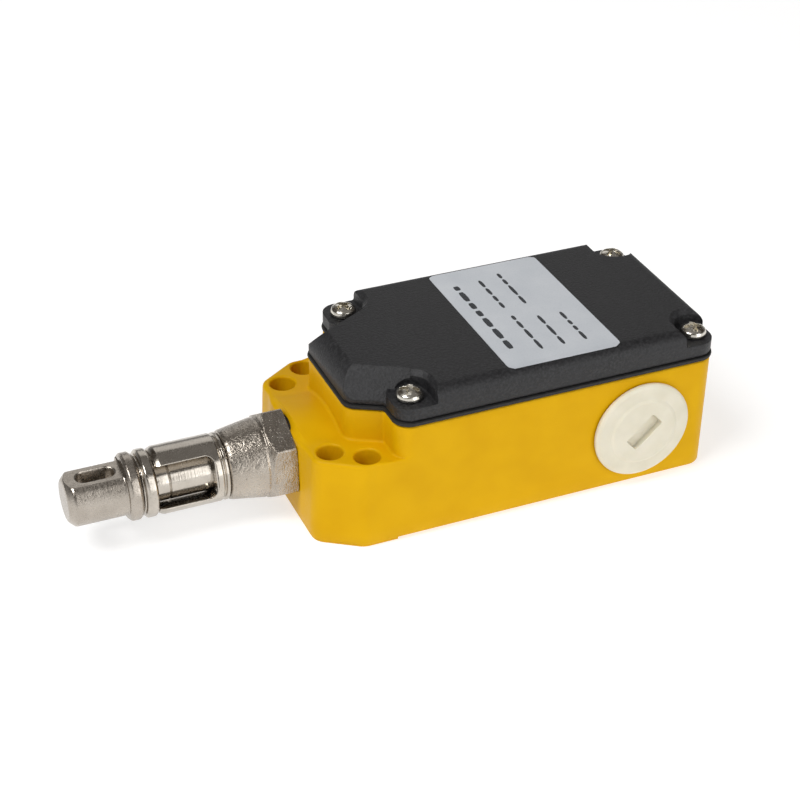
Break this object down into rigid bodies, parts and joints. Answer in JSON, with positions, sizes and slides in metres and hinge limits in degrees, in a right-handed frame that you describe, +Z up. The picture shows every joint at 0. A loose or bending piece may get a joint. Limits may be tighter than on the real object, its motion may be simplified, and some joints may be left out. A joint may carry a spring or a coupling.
{
  "type": "rope pull emergency stop switch",
  "caption": "Cast switch case with mounting ears, black screwed cover, cable entry plug and a sprung pull rod ending in a rope eye behind a windowed sleeve.",
  "frame": {"origin": "middle of the mounting pad under the ears, on the plane the switch rests on", "axes": "+X along the pull rod away from the rope, towards the closed end; +Y away from the cable entry; +Z up through the cover"},
  "size_m": [0.1719, 0.0593, 0.0442],
  "materials": {
    "case": "semi-gloss yellow enamel on die-cast metal",
    "cover": "fine-textured black moulding",
    "seal": "matt",
    "label": "satin silver foil",
    "screw": "bright zinc plate",
    "plug": "natural nylon",
    "actuator": "satin nickel plate",
    "spring": "bright spring wire",
    "block": "phenolic moulding",
    "lid": "pale insulating plastic",
    "carrier": "moulded white",
    "contact": "bright"
  },
  "bodies": {
    "case": {"housing": "case", "cover": "cover", "cover_gasket": "seal", "nameplate": "label", "cover_screw_1": "screw", "cover_screw_2": "screw", "cover_screw_3": "screw", "cover_screw_4": "screw", "cable_entry_plug": "plug", "entry_seal": "seal", "gland_body": "actuator", "gland_seal": "seal", "rod_wiper": "seal", "window_sleeve": "actuator", "return_spring": "spring", "contact_base": "block", "contact_cover": "lid", "carrier_spring": "spring", "terminal_1": "contact", "terminal_2": "contact", "terminal_3": "contact", "terminal_4": "contact", "terminal_screw_1": "screw", "terminal_screw_2": "screw", "terminal_screw_3": "screw", "terminal_screw_4": "screw", "block_screw_1": "screw", "block_screw_2": "screw", "earth_washer": "contact", "earth_screw": "screw"},
    "pull_assembly": {"pull_rod": "actuator", "lock_ring": "actuator", "rope_eye": "actuator", "spring_seat": "screw", "rod_nut": "screw"},
    "contact_carriage": {"contact_carrier": "carrier", "bridge_break": "contact", "bridge_make": "contact"}
  },
  "joints": [
    {"name": "rod_pull", "type": "slide", "parent": "case", "child": "pull_assembly", "axis": [-1, 0, 0], "range_m": [0, 0.006], "stiffness_N_per_m": 2500, "springref_m": -0.012, "deforming": ["return_spring"]},
    {"name": "carriage_follow", "type": "slide", "parent": "case", "child": "contact_carriage", "axis": [-1, 0, 0], "range_m": [0, 0.006], "deforming": ["carrier_spring"]}
  ],
  "couplings": [
    {"joint": "carriage_follow", "follows": "rod_pull", "ratio": 1}
  ]
}
